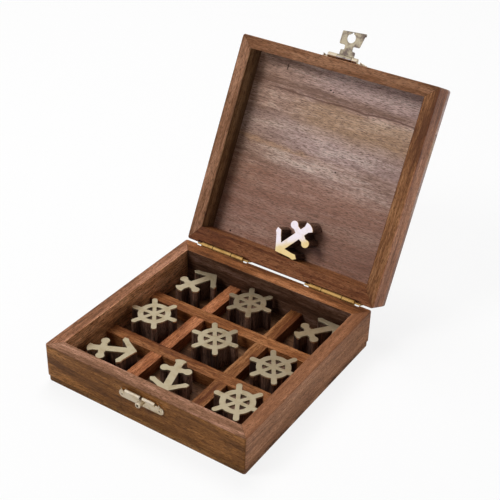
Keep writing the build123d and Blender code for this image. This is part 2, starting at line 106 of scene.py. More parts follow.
# %% Wires
class Wire:
    """One output of a node. Sums of wires add the Math nodes that work them out."""

    def __init__(self, tree, socket=None):
        self.tree, self.socket = tree, socket

    def node(self, kind, settings=None, inputs=None, out=0):
        """Adds a node: its settings first, then the values or wires of its sockets."""
        made = self.tree.nodes.new(kind)
        for name, value in (settings or {}).items():
            if name == "stops":
                ramp = made.color_ramp
                while len(ramp.elements) < len(value):
                    ramp.elements.new(0.5)
                for stop, (place, colour) in zip(ramp.elements, value):
                    stop.position, stop.color = place, colour
            else:
                setattr(made, name, value)
        for key, value in (inputs or {}).items():
            for one in value if isinstance(value, list) else [value]:
                if isinstance(one, Wire):
                    one.feed(made, key)
                else:
                    made.inputs[key].default_value = one
        return Wire(self.tree, made.outputs[out])

    def feed(self, node, key):
        """Links the wire to a socket of a node that is already there."""
        self.tree.links.new(self.socket, node.inputs[key])

    def math(self, operation, *values):
        """One Math node on some wires or numbers."""
        return self.node("ShaderNodeMath", {"operation": operation}, dict(enumerate(values)))

    def __add__(self, other):
        return self.math("ADD", self, other)

    __radd__ = __add__

    def __mul__(self, other):
        return self.math("MULTIPLY", self, other)

    __rmul__ = __mul__

    def __sub__(self, other):
        return self.math("SUBTRACT", self, other)

    def __rsub__(self, other):
        return self.math("SUBTRACT", other, self)

    def __abs__(self):
        return self.math("ABSOLUTE", self)

    def step(self, low, high):
        """Rises smoothly from 0 at low to 1 at high."""
        sizes = {0: self, 1: low, 2: high}
        return self.node("ShaderNodeMapRange", {"interpolation_type": "SMOOTHSTEP"}, sizes)

    def noise(self, place, detail, rough=0.5):
        """A cloudy pattern around 0.5. Its place sets how fast it changes."""
        sizes = {"Vector": place, "Scale": 1.0, "Detail": detail, "Roughness": rough}
        return self.node("ShaderNodeTexNoise", None, sizes)

    def vector(self, x, y, z):
        """Three wires or numbers as one vector."""
        return self.node("ShaderNodeCombineXYZ", None, {0: x, 1: y, 2: z})

    def length(self):
        """How long this vector is."""
        return self.node("ShaderNodeVectorMath", {"operation": "LENGTH"}, {0: self}, "Value")

    def blend(self, share, first, second, how="MIX"):
        """Mixes two colours by a share from 0 to 1."""
        settings = {"data_type": "RGBA", "blend_type": how}
        # A Mix node's colours are its sockets 6 and 7 and its output 2.
        return self.node("ShaderNodeMix", settings, {0: share, 6: first, 7: second}, 2)


print("wires ready")

# %% [markdown]
# ## Where the patterns sit
# A board's grain has to follow the board. UV maps could do that, but every board would have to be
# unwrapped first. So each finish reads object coordinates in millimetres, and a finish on the lid
# turns them back to the closed box, so that one set of sums serves both.


# %% Coordinates
def new_finish(name):
    """A plain material with its shader, and a wire to start from."""
    material = bpy.data.materials.new(name)
    material.use_nodes = True
    shader = material.node_tree.nodes["Principled BSDF"]
    return material, shader, Wire(material.node_tree)


def coordinates(wire, on_lid):
    """The point on the closed box, in millimetres, as three wires."""
    point = wire.node("ShaderNodeTexCoord", out="Object")
    sizes = {"Vector": point, "Scale": (1 / MM, 1 / MM, 1 / MM)}
    if on_lid:
        centre = Vector((0, HINGE_Y, HINGE_Z))
        turn = Matrix.Rotation(OPEN_ANGLE, 3, "X")
        sizes["Rotation"] = (OPEN_ANGLE, 0, 0)
        sizes["Location"] = centre - turn @ centre
    place = wire.node("ShaderNodeMapping", None, sizes)
    return [wire.node("ShaderNodeSeparateXYZ", None, {"Vector": place}, axis) for axis in "XYZ"]


def tone(red, green, blue):
    """A colour as it looks on screen, 0 to 255, turned into light by the screen's own curve."""
    shares = [v / 255 for v in (red, green, blue)]
    return (*[v / 12.92 if v <= 0.04045 else ((v + 0.055) / 1.055) ** 2.4 for v in shares], 1)


print("mid brown as light:", rounded(tone(120, 84, 62), 3))

# %% [markdown]
# ## Wood
# The box is a brown rosewood. Four things make it look like wood: the broad bands of the growth
# rings, fine fibres, short dark pores along the grain, and a worn wax. One stretched noise would do
# for a small patch, but not for a corner, where two faces of a board meet. So the rings are made
# as in a tree: tubes around a heart that lies somewhere off the board. The distance from that
# heart, wobbled a little, gives both the long lines on a face and the arcs on an end.

# %% Grain
# How fast each pattern changes along the grain and across it, per millimetre.
PACES = {
    "bend": (0.012, 0.03),
    "figure": (0.013, 0.11),
    "streak": (0.08, 0.8),
    "fibre": (0.32, 2.6),
    "pore": (0.4, 2.6),
}
RING_WOBBLE, BOARD_SHIFT = 3.0, 37.0


def grain_patterns(w, place, seed, heart, ring):
    """A board's rings, figure, streaks, fibres and pores. ring is the rings' width."""
    along, across, deep = place
    along = along + BOARD_SHIFT * seed

    def pattern(name, detail, rough=0.5, shift=seed):
        pace, cross_pace = PACES[name]
        spot = w.vector(along * pace, across * cross_pace, deep * cross_pace + shift)
        return w.noise(spot, detail, rough)

    # Slow waves along the board bend the rings, and a second noise varies their spacing.
    from_heart = w.vector(0.0, across - heart[0], deep - heart[1]).length()
    turns = (from_heart + pattern("bend", 1.0) * (RING_WOBBLE * ring)) * (1.0 / ring) + seed
    sizes = {"W": turns, "Scale": 1.0, "Detail": 3.0}
    rings = w.node("ShaderNodeTexNoise", {"noise_dimensions": "1D"}, sizes)
    figure = pattern("figure", 3.0, 0.6)
    streak = pattern("streak", 5.0, 0.72)
    fibre = pattern("fibre", 3.0, 0.7, 0.0)
    # Pores are short dashes: a noise stretched along the grain, cut off high.
    pore = pattern("pore", 1.0).step(0.57, 0.66)
    return rings, figure, streak, fibre, pore


print(len(PACES), "patterns in the grain")

# %% Painted face light and shade, and mitres
# Where a tint of an inner face ends, on the side boards (Y) and on the hinge boards (X).
INNER_EDGE = {"x": 53.7, "y": 56.1}


def tinted(w, colour, place, grain, tints):
    """Brightens, darkens or warms some faces of one board.

    "rim" is a base wall's rim, "inside" and "outside" are a wall's inner and outer faces, and
    "deep" is the part of the inner face next to the lid's panel. The tints are painted light and
    shade on those faces, and "deep" darkens as painted shade next to the panel.
    """
    x, y, z = place
    inner = INNER_EDGE[grain]
    edges = {
        "rim": (BASE_RIM - 0.6, BASE_RIM - 0.3),
        "outside": (HALF_WIDTH - 0.7, HALF_WIDTH - 0.5),
        "inside": (inner + 0.1, inner - 0.1),
        "deep": (inner + 0.1, inner - 0.1),
    }
    for face, tint in tints.items():
        reach = z if face == "rim" else abs(x if grain == "y" else y)
        mask = reach.step(*edges[face])
        # Painted shade: the inner face darkens towards the lid's panel.
        if face == "deep":
            mask = mask * z.step(26.0, 37.0)
        colour = w.blend(mask, colour, (*tint, 1), "MULTIPLY")
    return colour


def mitre_lines(w, x, y):
    """A mask for the thin line where two boards meet at a corner, drawn on both boards."""
    side = abs(x) - (HALF_WIDTH - SIDE_WALL)
    front = (0 - y) - (HALF_DEPTH - FRONT_WALL)
    back = y - (HALF_DEPTH - HINGE_WALL)
    near_front = abs(side - front * (SIDE_WALL / FRONT_WALL))
    near_back = abs(side - back * (SIDE_WALL / HINGE_WALL))
    return w.math("MINIMUM", near_front, near_back).step(0.28, 0.05)


print("inner faces from", INNER_EDGE)

# %% The wood finish
RING_SHARE, FIGURE_SHARE, STREAK_SHARE = 0.9, 1.9, 1.8
FIBRE_SHARE, PORE_SHARE, MITRE_SHARE = 0.6, 0.7, 0.6
SHADE, WOOD_ROUGH, WOOD_GLOSS = 0.6, 0.46, 0.14


def wood(name, grain, tones, seed, on_lid=False, heart=(30, -45), ring=7.0, contrast=1.0,
         mitred=False, tints=None, marks=None, gloss=WOOD_GLOSS):
    """A waxed hardwood whose grain runs along X, Y or Z of the closed box.

    tones are its dark, middle and light tone. tints paint light and shade on single faces, as
    tinted() says, and marks is a function that draws what only this board has.
    """
    material, shader, w = new_finish(name)
    x, y, z = coordinates(w, on_lid)
    place = {"x": (x, y, z), "y": (y, x, z), "z": (z, x, y)}[grain]
    rings, figure, streak, fibre, pore = grain_patterns(w, place, seed, heart, ring)
    level = (rings - 0.5) * (RING_SHARE * contrast) + (figure - 0.5) * (FIGURE_SHARE * contrast)
    level = level + (streak - 0.5) * (STREAK_SHARE * contrast) + 0.5
    stops = list(zip((0.15, 0.5, 0.85), tones))
    colour = w.node("ShaderNodeValToRGB", {"stops": stops}, {"Fac": level})
    if marks:
        colour = marks(w, (x, y, z), colour)
    # Painted light and shade on single faces.
    if tints:
        colour = tinted(w, colour, (x, y, z), grain, tints)
    # Fibres, pores and mitres are all drawn in one shade under the dark tone.
    shade = tuple(v * SHADE for v in tones[0][:3]) + (1,)
    colour = w.blend(fibre.step(0.6, 0.34) * FIBRE_SHARE, colour, shade)
    colour = w.blend(pore * PORE_SHARE, colour, shade)
    if mitred:
        colour = w.blend(mitre_lines(w, x, y) * MITRE_SHARE, colour, shade)
    colour.feed(shader, "Base Color")
    dull = fibre * 0.22 + pore * 0.2 + (WOOD_ROUGH - 0.11)
    dull.feed(shader, "Roughness")
    height = fibre * 0.5 - pore * 0.9 + rings * 0.3
    sizes = {"Strength": 0.3, "Distance": 0.1 * MM, "Height": height}
    w.node("ShaderNodeBump", None, sizes).feed(shader, "Normal")
    shader.inputs["Specular IOR Level"].default_value = gloss
    return material


print("wood finish ready")

# %% [markdown]
# ## Woods of the case
# One finish could serve all ten boards, but then each would show the same figure. Every board is
# cut from its own place in the log instead, so each gets its own seed, heart and shades. The front
# and hinge boards run along X and the side boards along Y.

# %% Tones of the boards
boards = {
    # node: grain, dark, middle and light tone
    "base_front_wall": ("x", tone(92, 55, 22), tone(141, 91, 44), tone(189, 130, 72)),
    "base_hinge_wall": ("x", tone(85, 49, 26), tone(146, 91, 53), tone(192, 130, 87)),
    "base_left_wall": ("y", tone(92, 58, 36), tone(151, 100, 69), tone(193, 138, 108)),
    "base_right_wall": ("y", tone(120, 79, 54), tone(175, 122, 86), tone(223, 165, 125)),
    "base_floor": ("x", tone(63, 38, 23), tone(101, 69, 46), tone(135, 97, 69)),
    "lid_front_wall": ("x", tone(93, 58, 38), tone(140, 94, 63), tone(175, 127, 94)),
    "lid_hinge_wall": ("x", tone(90, 52, 33), tone(130, 78, 48), tone(168, 112, 75)),
    "lid_left_wall": ("y", tone(96, 63, 44), tone(149, 104, 74), tone(190, 141, 110)),
    "lid_right_wall": ("y", tone(105, 65, 41), tone(156, 106, 68), tone(196, 144, 100)),
    "lid_top_panel": ("x", tone(130, 99, 84), tone(187, 154, 140), tone(227, 203, 188)),
}
# Painted light and shade: each tint makes one face of a board paler, brighter or darker for the
# light that falls on it, such as the paler front rim, the lit left and the shaded back inner
# walls of the base, and the shade deep in the lid.
painted_face_light = {
    "base_front_wall": {"rim": (1.19, 1.46, 3.38)},
    "base_right_wall": {"rim": (0.65, 0.58, 0.55)},
    "base_left_wall": {"inside": (1.91, 2.05, 1.84)},
    "base_hinge_wall": {"inside": (0.45, 0.62, 1.1)},
    "lid_left_wall": {"inside": (0.86, 1.03, 0.86), "deep": (0.5, 0.5, 0.5)},
    "lid_right_wall": {"inside": (0.38, 0.22, 0.29), "outside": (1.35, 1.28, 1.55)},
    "lid_hinge_wall": {"inside": (1.2, 1.3, 1.15)},
}
contrasts = {"lid_top_panel": 0.7, "base_front_wall": 0.7, "base_right_wall": 0.55}
print(len(boards), "boards,", len(painted_face_light), "of them with a tinted face")

# %% [markdown]
# ### Marks that only one board has
# The lid's panel has a figure that one sees at a glance, and noise can't be steered into it.
# Its bands are drawn one by one instead: each is a product of smooth steps across the panel. On the
# floor panel the same means keep the tray side dark and the outer side as pale as the walls.
# Some of the panel's marks are painted light and shade, and the floor's dark tray side is
# partly painted shade.

# %% Panel and floor marks
PANEL_SPECKS = [
    # x, y, half width and half length
    (-36, -51.6, 0.45, 2.4), (-5, -45.3, 0.9, 0.6), (-3.2, -44.6, 0.6, 0.5),
    (12.3, -1, 0.7, 0.7), (-43.8, 52.2, 0.8, 0.8),
]


def panel_marks(w, place, colour):
    """The lid panel's pale, lilac and red bands, dark line and specks, with painted sheen and
    shade.
    """
    x, y, z = place
    drift = w.noise(w.vector(x * 0.05, y * 0.12, z), 3.0, 0.6) - 0.5
    lean = y - x * 0.035 + drift * 9.0
    pale = lean.step(-40, -34) * lean.step(-14, -22) * x.step(-40, -5)
    # The lilac bands are partly the wood's own colour and partly painted sheen.
    lilac = lean.step(-42, -47) * x.step(-25, 5) + lean.step(-26, -20) * lean.step(-4, -10) * 0.8
    stripe = abs(lean + 4.0).step(2.2, 0.3) * x.step(10, -15)
    wander = w.noise(w.vector(x * 0.04, 3.0, 0.0), 2.0) * 4.0
    line = abs(y + 38.2 + wander - 2.0).step(0.7, 0.2)
    red = lean.step(2.0, 14.0)
    for share, paint in [
        (pale * 0.5, tone(192, 154, 110)),
        (lilac * 0.45, tone(186, 162, 160)),
        (stripe * 0.6, tone(196, 156, 122)),
        (line * (x.step(-46, -38) * 0.7), tone(84, 44, 32)),
        (red * 0.6, tone(164, 112, 88)),
    ]:
        colour = w.blend(share, colour, paint)
    # Painted light and shade: the panel darkens towards the hinge and the right, lightens towards
    # the catch edge, and gets a painted sheen in the middle. The golden tint is the wood's own, and
    # the outer face is darkened.
    painted_shade_low_right = y.step(5, 50) * x.step(-30, 40)
    golden = x.step(-12, -48) * y.step(38, 8)
    painted_sheen = x.step(-30, 0) * x.step(44, 20) * y.step(36, 12) * y.step(-34, -14)
    for share, tint in [
        (painted_shade_low_right * 0.45, (0.55, 0.5, 0.45)),
        (y.step(20, -50), (1.3, 1.33, 1.35)),
        (golden * 0.55, (0.86, 0.78, 0.62)),
        (painted_sheen * 0.35, (1.3, 1.34, 1.4)),
        (z.step(LID_TOP - 0.8, LID_TOP - 0.4), (0.62, 0.55, 0.48)),
    ]:
        colour = w.blend(share, colour, (*tint, 1), "MULTIPLY")
    for speck_x, speck_y, wide, long in PANEL_SPECKS:
        reach = w.vector((x - speck_x) * (1 / wide), (y - speck_y) * (1 / long), 0.0).length()
        colour = w.blend(reach.step(1.0, 0.6), colour, tone(44, 24, 20))
    return colour


def floor_marks(w, place, colour):
    """Edges and underside as pale as the walls; the tray side stays dark, partly as painted shade.
    """
    x, y, z = place
    outer = z.step(FLOOR_TOP - 0.01, FLOOR_TOP - 0.1)
    at_side = abs(x).step(HALF_WIDTH - 1.7, HALF_WIDTH - 1.3)
    colour = w.blend(outer * (1 - at_side), colour, (1.96, 1.9, 1.16, 1), "MULTIPLY")
    return w.blend(outer * at_side, colour, (2.7, 2.85, 3.2, 1), "MULTIPLY")


board_marks = {"lid_top_panel": panel_marks, "base_floor": floor_marks}
print(len(PANEL_SPECKS), "specks on the lid's panel")

# %% Case boards
wood_finish = {}
for number, (node, (grain, *tones)) in enumerate(boards.items()):
    wood_finish[node] = wood(
        "wood_" + node, grain, tones, seed=1 + number,
        on_lid=node.startswith("lid"),
        heart=(20 + 9 * (number % 3), -38 - 7 * (number % 4)),
        contrast=contrasts.get(node, 0.85),
        mitred="wall" in node,
        tints=painted_face_light.get(node),
        marks=board_marks.get(node),
        gloss=0.3 if node == "lid_top_panel" else WOOD_GLOSS,
    )
print(len(wood_finish), "case boards")

# %% [markdown]
# ## Woods of the tray and its pieces
# The dividers are thin strips of a redder wood. Each playing piece is sawn from a dark block whose
# grain stands upright, with narrower rings. All of them can use the case's finish as it is.

# %% Divider strips and playing-piece bodies
strips = {
    "divider_front_strip": ("x", tone(93, 49, 24), tone(135, 83, 45), tone(168, 114, 73)),
    "divider_back_strip": ("x", tone(99, 53, 26), tone(145, 90, 50), tone(178, 121, 77)),
    "divider_left_strip": ("y", tone(109, 56, 30), tone(159, 96, 57), tone(194, 128, 87)),
    "divider_right_strip": ("y", tone(96, 51, 25), tone(140, 90, 51), tone(172, 120, 78)),
}
for number, (node, (grain, *tones)) in enumerate(strips.items()):
    wood_finish[node] = wood("wood_" + node, grain, tones, seed=20 + number)
block_tones = [tone(48, 33, 29), tone(92, 67, 54), tone(130, 99, 83)]
pieces = sorted(n.removesuffix("_wood") for n in nodes if n.endswith("_wood"))
for number, piece in enumerate(pieces):
    wood_finish[piece + "_wood"] = wood(
        "wood_" + piece, "z", block_tones, seed=40 + number,
        on_lid=piece == "anchor_lid", ring=4.0, contrast=1.2,
    )
print(len(wood_finish), "woods in all")

# %% [markdown]
# ## Metals
# There are three kinds of metal: pale lacquered brass faces on the pieces, yellow brass hinges, and
# a worn plating on the latch. A single metal colour would look like paint, because a metal is a
# mirror at heart. What matters is how rough it is, and that its roughness and tint wander a little.

# %% The metal finish
# The middles of a hinge and of the latch, and how far from there a joint or a nail is.
HINGE_X, KNUCKLE_JOINT = 37.5, 6.6
LATCH_X, EAR_REACH = 0.7, 11.8
CATCH_EAR_Z, HASP_EAR_Z = 16.8, 32.7
CLOUD_PACE, SCRATCH_PACE, SCRATCH_CROSS_PACE = 0.22, 0.35, 7.0
CLOUD_DULL, SCRATCH_DULL, DARK_SHARE = 0.08, 0.05, 0.85


def metal(name, bright, dull, rough, seed, scratch=0.12, on_lid=False, wander=1.0, joints=False,
          ear_z=None, film=0.0, patch=(0.45, 0.75)):
    """A drawn or brushed metal with a wandering tint and fine scratches along X.

    joints darkens thin lines where the knuckles of a hinge meet, and ear_z, a height on the
    closed box, adds painted shade: a dark dot in the middle of a latch plate's nails, where a
    dimple would lie in shade. film is the share of a dull film over the metal. The dull tone
    sets in between the two noise levels of patch.
    """
    material, shader, w = new_finish(name)
    x, y, z = coordinates(w, on_lid)
    spot = w.vector(x * CLOUD_PACE + seed, y * CLOUD_PACE, z * CLOUD_PACE)
    cloud = w.noise(spot, 3.0, 0.6)
    spot = w.vector(x * SCRATCH_PACE, y * SCRATCH_CROSS_PACE, z * SCRATCH_CROSS_PACE + seed)
    scratches = w.noise(spot, 2.0, 0.7)
    colour = w.blend(cloud.step(*patch), bright, dull)
    if joints:
        knuckle_line = abs(abs(abs(x) - HINGE_X) - KNUCKLE_JOINT).step(0.42, 0.12)
        colour = w.blend(knuckle_line * DARK_SHARE, colour, tone(60, 40, 22))
    # Painted shade: a dark dot in the middle of each nail's head stands for the shade of a dimple.
    if ear_z:
        away = w.vector(abs(abs(x - LATCH_X) - EAR_REACH), 0.0, z - ear_z).length()
        colour = w.blend(away.step(0.6, 0.3) * DARK_SHARE, colour, tone(60, 44, 30))
    colour.feed(shader, "Base Color")
    # Both noises are 0.5 on average, so half their shares come off again.
    uneven = cloud * (CLOUD_DULL * wander) + scratches * (SCRATCH_DULL * wander)
    uneven = uneven + (rough - (CLOUD_DULL + SCRATCH_DULL) / 2 * wander)
    uneven.feed(shader, "Roughness")
    sizes = {"Strength": scratch, "Distance": 0.01 * MM, "Height": scratches}
    w.node("ShaderNodeBump", None, sizes).feed(shader, "Normal")
    shader.inputs["Metallic"].default_value = 1.0 - film
    return material


print("metal finish ready")

# %% Six metals
face_brass = metal(
    "face_brass", tone(182, 168, 139), tone(168, 150, 118), 0.3, 3.0,
    scratch=0.03, wander=0.6, film=0.18,
)
lid_face_brass = metal(
    "lid_face_brass", tone(232, 206, 146), tone(226, 196, 130), 0.045, 5.0,
    scratch=0.02, on_lid=True, wander=0.1,
)
hinge_brass = metal("hinge_brass", tone(186, 150, 92), tone(160, 122, 66), 0.48, 7.0, joints=True)
latch_tones = tone(206, 192, 168), tone(184, 164, 130)
latch_metal = metal("latch_metal", *latch_tones, 0.36, 11.0, ear_z=CATCH_EAR_Z)
lid_latch_metal = metal(
    "lid_latch_metal", *latch_tones, 0.36, 12.0, on_lid=True, ear_z=HASP_EAR_Z
)
hasp_metal = metal(
    "hasp_metal", tone(182, 170, 146), tone(112, 98, 90), 0.16, 13.0,
    on_lid=True, patch=(0.38, 0.62),
)
print("six metals, hinges the roughest and the lid's anchor the smoothest")

# %% [markdown]
# ## Eased edges
# No real edge is perfectly sharp, and a metal edge shows it most: it catches a thin line of light.
# A Bevel node in the finish could fake that in one renderer, but real faces show it in all. A CAD
# node's mesh is left alone, so a metal part is copied, its loose triangles are merged into clean
# faces, and the copy gets a small bevel and takes the node's place.

# %% Pieces that take a node's place
CREASE, EASE_FROM = math.radians(38), math.radians(40)


def new_piece(name, mesh):
    """A new object in the scene."""
    piece = bpy.data.objects.new(name, mesh)
    bpy.context.scene.collection.objects.link(piece)
    return piece


def finish_piece(piece, node, width, material):
    """Rounds a piece's sharp edges by width, in millimetres, and puts it in the node's place."""
    if width:
        bevel = piece.modifiers.new("ease", "BEVEL")
        bevel.width = width * MM
        bevel.segments = 2
        bevel.limit_method = "ANGLE"
        bevel.angle_limit = EASE_FROM
    # Normals weighed by area keep the broad faces flat and shade only the narrow ones round.
    level = piece.modifiers.new("level", "WEIGHTED_NORMAL")
    level.keep_sharp = True
    level.weight = 100
    evaluated = piece.evaluated_get(bpy.context.evaluated_depsgraph_get())
    finished = bpy.data.meshes.new_from_object(evaluated)
    piece.modifiers.clear()
    piece.data = finished
    finished.materials.clear()
    finished.materials.append(material)
    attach(piece, body_of_node[node])
    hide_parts(node)
    return piece


print("edges stay sharp from", round(math.degrees(CREASE)), "degrees")

# %% Eased copies
FACE_EASE, LEAF_EASE, PLATE_EASE = 0.07, 0.08, 0.1
SAME_POINT, SAME_FACE = 0.002 * MM, math.radians(0.5)


def eased(node, width, material):
    """A copy of a CAD node with its sharp edges rounded by width, in millimetres."""
    mesh = nodes[node].data.copy()
    mesh.materials.clear()
    work = bmesh.new()
    work.from_mesh(mesh)
    bmesh.ops.remove_doubles(work, verts=work.verts, dist=SAME_POINT)
    bmesh.ops.dissolve_limit(
        work, angle_limit=SAME_FACE, verts=work.verts, edges=work.edges, delimit=set()
    )
    work.to_mesh(mesh)
    work.free()
    mesh.shade_smooth()
    mesh.set_sharp_from_angle(angle=CREASE)
    return finish_piece(new_piece(node + "_eased", mesh), node, width, material)


made_parts = {}
for node in sorted(nodes):
    if node.startswith("anchor") and node.endswith("_brass"):
        finish = lid_face_brass if node.startswith("anchor_lid") else face_brass
        made_parts[node] = eased(node, FACE_EASE, finish)
    elif "leaf" in node:
        made_parts[node] = eased(node, LEAF_EASE, hinge_brass)
    elif node in ("catch_plate", "hasp_plate", "hasp"):
        finish = {"hasp": hasp_metal, "hasp_plate": lid_latch_metal}.get(node, latch_metal)
        made_parts[node] = eased(node, PLATE_EASE, finish)
print(len(made_parts), "parts,", sum(len(o.data.polygons) for o in made_parts.values()), "faces")

# %% [markdown]
# ## Shapes that follow a rule
# A nail is a row of rings, and a ship's wheel is one handle and one window repeated six times.
# Geometry Nodes suits both: a rule on a point's number says where the point goes. One helper
# makes a tree with named sizes, and another puts a tree on a new object with its sizes set.


# %% Trees with named sizes
def new_tree(name, sizes):
    """A node tree with a named input for each size. Returns it with one wire for each input."""
    tree = bpy.data.node_groups.new(name, "GeometryNodeTree")
    kinds = {"Material": "NodeSocketMaterial", "Middle": "NodeSocketVector"}
    for size in sizes:
        kind = kinds.get(size, "NodeSocketFloat")
        tree.interface.new_socket(name=size, in_out="INPUT", socket_type=kind)
    tree.interface.new_socket(name="Geometry", in_out="OUTPUT", socket_type="NodeSocketGeometry")
    inlet = tree.nodes.new("NodeGroupInput")
    return tree, Wire(tree), {size: Wire(tree, inlet.outputs[size]) for size in sizes}


def end_tree(w, shape, turn, size):
    """Puts the shape in its place and ends the tree in a real mesh with its material."""
    places = {"Geometry": shape, "Translation": size["Middle"], "Rotation": turn}
    placed = w.node("GeometryNodeTransform", None, places)
    # Faces are smooth, except at edges that bend more than a crease does.
    bend = w.node("GeometryNodeInputMeshEdgeAngle")
    sharp = w.math("GREATER_THAN", bend, CREASE)
    smooth = w.node("GeometryNodeSetShadeSmooth", {"domain": "FACE"}, {"Geometry": placed})
    settings = {"Geometry": smooth, "Selection": sharp, "Shade Smooth": False}
    creased = w.node("GeometryNodeSetShadeSmooth", {"domain": "EDGE"}, settings)
    real = w.node("GeometryNodeRealizeInstances", None, {"Geometry": creased})
    settings = {"Geometry": real, "Material": size["Material"]}
    done = w.node("GeometryNodeSetMaterial", None, settings)
    done.feed(w.tree.nodes.new("NodeGroupOutput"), "Geometry")


def grown(name, tree, sizes):
    """A new piece whose shape comes from a tree, with the tree's sizes set."""
    piece = new_piece(name, bpy.data.meshes.new(name))
    modifier = piece.modifiers.new("rule", "NODES")
    modifier.node_group = tree
    for socket in tree.interface.items_tree:
        if socket.in_out == "INPUT":
            modifier[socket.identifier] = sizes[socket.name]
    return piece


def in_metres(sizes):
    """Named sizes, given in millimetres."""
    return {name: value * MM for name, value in sizes.items()}


def show_fit(node, piece):
    """Prints a piece's lowest and highest corners beside those of the node it stands for."""
    for label, points in ("piece", [v.co for v in piece.data.vertices]), ("node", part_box(node)):
        corners = [[pick(column) / MM for column in zip(*points)] for pick in (min, max)]
        print(node, label, [rounded(corner, 2) for corner in corners])


print("tree helpers ready")

# %% [markdown]
# ## Round-headed nails
# Small brass nails hold the hinge leaves and the latch plates. They could be sphere halves on
# cylinders, but here one path carries a ring of changing size: the path's points climb from the
# nail's tip to the top of its head, and each point's number says how wide the ring is there.

# %% Nail tree: one nail
SHANK_POINTS, DOME_POINTS, NAIL_SIDES = 3, 8, 20
nail_tree, w, size = new_tree("nails", [
    "Head", "Rise", "Shank", "Length", "Pairs", "Pair gap", "Nail gap", "Tilt", "Middle",
    "Material",
])
index = w.node("GeometryNodeInputIndex")
at_tip = w.math("LESS_THAN", index, 0.5)
on_dome = w.math("GREATER_THAN", index, SHANK_POINTS - 0.5)
# The dome stops just short of its pole, where a cap closes it.
quarter = 0.97 * math.pi / 2
swing = w.math("MAXIMUM", index - SHANK_POINTS, 0.0) * (quarter / (DOME_POINTS - 1))
height = on_dome * w.math("SINE", swing) * size["Rise"]
# The shank ends a tenth of its radius under the head. Its tip is a length deeper, and half as wide.
depth = w.math("MINIMUM", (index - 2.0) * 0.5, -0.1)
height = height + (1 - on_dome) * depth * size["Shank"]
height = height - at_tip * size["Length"]
wide = on_dome * w.math("COSINE", swing) * size["Head"]
wide = wide + (1 - on_dome) * size["Shank"] * (1.0 - at_tip * 0.5)
path = w.node("GeometryNodeCurvePrimitiveLine")
settings = {"Curve": path, "Count": SHANK_POINTS + DOME_POINTS}
path = w.node("GeometryNodeResampleCurve", None, settings)
places = {"Geometry": path, "Position": w.vector(0.0, 0.0, height)}
path = w.node("GeometryNodeSetPosition", None, places)
settings = {"Resolution": NAIL_SIDES, "Radius": 1.0}
ring = w.node("GeometryNodeCurvePrimitiveCircle", None, settings)
settings = {"Curve": path, "Profile Curve": ring, "Scale": wide, "Fill Caps": True}
nail = w.node("GeometryNodeCurveToMesh", None, settings)
print("one nail from", SHANK_POINTS + DOME_POINTS, "rings")

# %% Nail tree: the row
# Nails stand in pairs along X, and each is hammered to a slightly different size.
dots = w.node("GeometryNodePoints", None, {"Count": size["Pairs"] * 2.0})
number = w.node("GeometryNodeInputIndex")
pair = w.math("FLOOR", number * 0.5)
run = (pair - (size["Pairs"] - 1.0) * 0.5) * size["Pair gap"]
run = run + (number - pair * 2.0 - 0.5) * size["Nail gap"]
places = {"Geometry": dots, "Position": w.vector(run, 0.0, 0.0)}
dots = w.node("GeometryNodeSetPosition", None, places)
# Sockets 2 and 3 are the least and the largest size, and output 1 is the size drawn.
fat = w.node("FunctionNodeRandomValue", {"data_type": "FLOAT"}, {2: 0.93, 3: 1.0, "Seed": 7}, 1)
settings = {"Points": dots, "Instance": nail, "Scale": w.vector(fat, fat, fat)}
row = w.node("GeometryNodeInstanceOnPoints", None, settings)
row = w.node("GeometryNodeRealizeInstances", None, {"Geometry": row})
end_tree(w, row, w.vector(size["Tilt"], 0.0, 0.0), size)
print("nail tree with", len(nail_tree.nodes), "nodes")

# %% Nails in their plates
LEAF_FACE, LEAF_NAIL_GAP, PLATE_FACE = 64.2, 17.2, -63.8
nail_sizes = in_metres({"Head": 1.0, "Rise": 0.5, "Shank": 0.55, "Length": 4.0})
nail_rows = {
    # node: pairs, gap between two nails, x, the metal's outer face, height, finish
    "base_hinge_nails": (2, LEAF_NAIL_GAP, 0.0, LEAF_FACE, 19.95, hinge_brass),
    "lid_hinge_nails": (2, LEAF_NAIL_GAP, 0.0, LEAF_FACE, 29.35, hinge_brass),
    "catch_nails": (1, 2 * EAR_REACH, LATCH_X, PLATE_FACE, CATCH_EAR_Z, latch_metal),
    "hasp_plate_nails": (1, 2 * EAR_REACH, LATCH_X, PLATE_FACE, HASP_EAR_Z, lid_latch_metal),
}


def open_lid(y, z):
    """Where a point of the closed lid goes when the lid stands open."""
    y, z = y - HINGE_Y, z - HINGE_Z
    c, s = math.cos(OPEN_ANGLE), math.sin(OPEN_ANGLE)
    return HINGE_Y + y * c + z * s, HINGE_Z - y * s + z * c


for node, (pairs, gap, x, y, z, finish) in nail_rows.items():
    # A nail grows along Z, and is tilted to point out of the box's back or front.
    tilt = -math.pi / 2 if y > 0 else math.pi / 2
    if body_of_node[node] == "lid":
        y, z = open_lid(y, z)
        tilt -= OPEN_ANGLE
    piece = grown(node + "_domed", nail_tree, {
        **nail_sizes, "Pairs": float(pairs), "Pair gap": 2 * HINGE_X * MM, "Nail gap": gap * MM,
        "Tilt": tilt, "Middle": (x * MM, y * MM, z * MM), "Material": finish,
    })
    made_parts[node] = finish_piece(piece, node, 0, finish)
    show_fit(node, piece)

# %% [markdown]
# ## Ship's wheel faces
# Each wheel has a brass face with six handles and six windows. It could be cut with Booleans, but
# a rule gives a cleaner edge: eleven points of the outline and ten points of a window, each placed
# by its number at an angle and a distance from the hub, and all of it six times round.

# %% Wheel tree: rounded outlines
SPOKES, SIDE_POINTS, WINDOW_POINTS = 6, 11, 10
sixth = 2 * math.pi / SPOKES
wheel_tree, w, size = new_tree("wheel_face", [
    "Rim", "Reach", "Tip", "Root", "Window", "Spoke", "Fillet", "Thickness", "Turn", "Middle",
    "Material",
])


